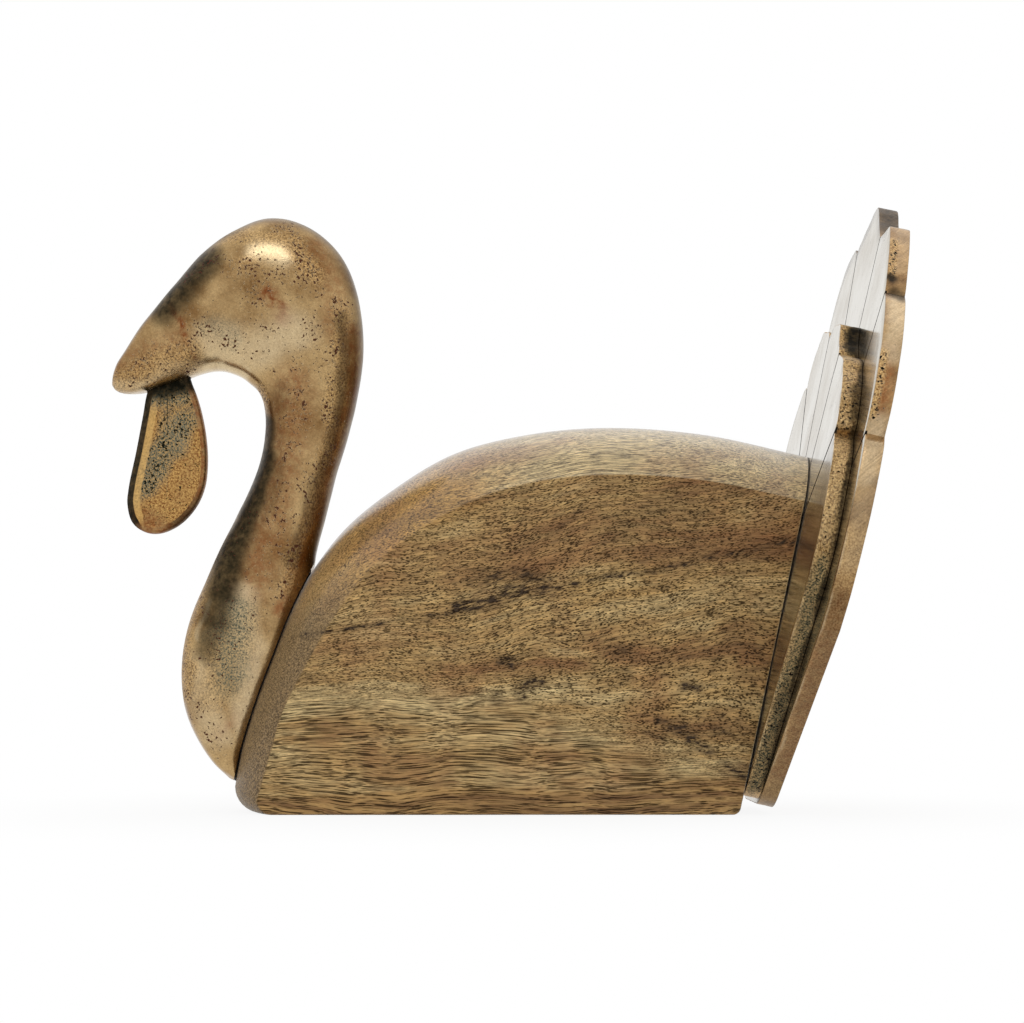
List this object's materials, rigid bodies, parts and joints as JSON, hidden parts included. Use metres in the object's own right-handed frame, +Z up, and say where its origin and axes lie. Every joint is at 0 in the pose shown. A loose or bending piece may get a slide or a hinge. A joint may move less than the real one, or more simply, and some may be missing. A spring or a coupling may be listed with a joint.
{
  "type": "turkey figure",
  "caption": "Tabletop turkey figure with a rounded wooden body, a cast metal neck, head and wattle, and a scalloped fan tail of two stacked metal plates.",
  "frame": {"origin": "middle of the wooden body's flat resting face, on the centre plane", "axes": "+X from the beak towards the tail, +Y across the body, +Z up from the table"},
  "size_m": [0.221, 0.1912, 0.1698],
  "materials": {
    "hardwood": "oiled open-grain hardwood",
    "cast_brass": "antiqued casting, hand polished, with open pits",
    "patina_brass": "antiqued casting with green patina",
    "fan_brass": "polished faces with rough cast edges",
    "zinc_steel": "plain zinc-plated fastener"
  },
  "bodies": {
    "root": {"body": "hardwood", "head_neck": "cast_brass", "wattle": "patina_brass", "tail_front_fan": "fan_brass", "tail_back_fan": "fan_brass", "neck_stud_upper": "zinc_steel", "neck_stud_lower": "zinc_steel", "tail_screw_upper": "zinc_steel", "tail_screw_left": "zinc_steel", "tail_screw_right": "zinc_steel"}
  },
  "joints": []
}
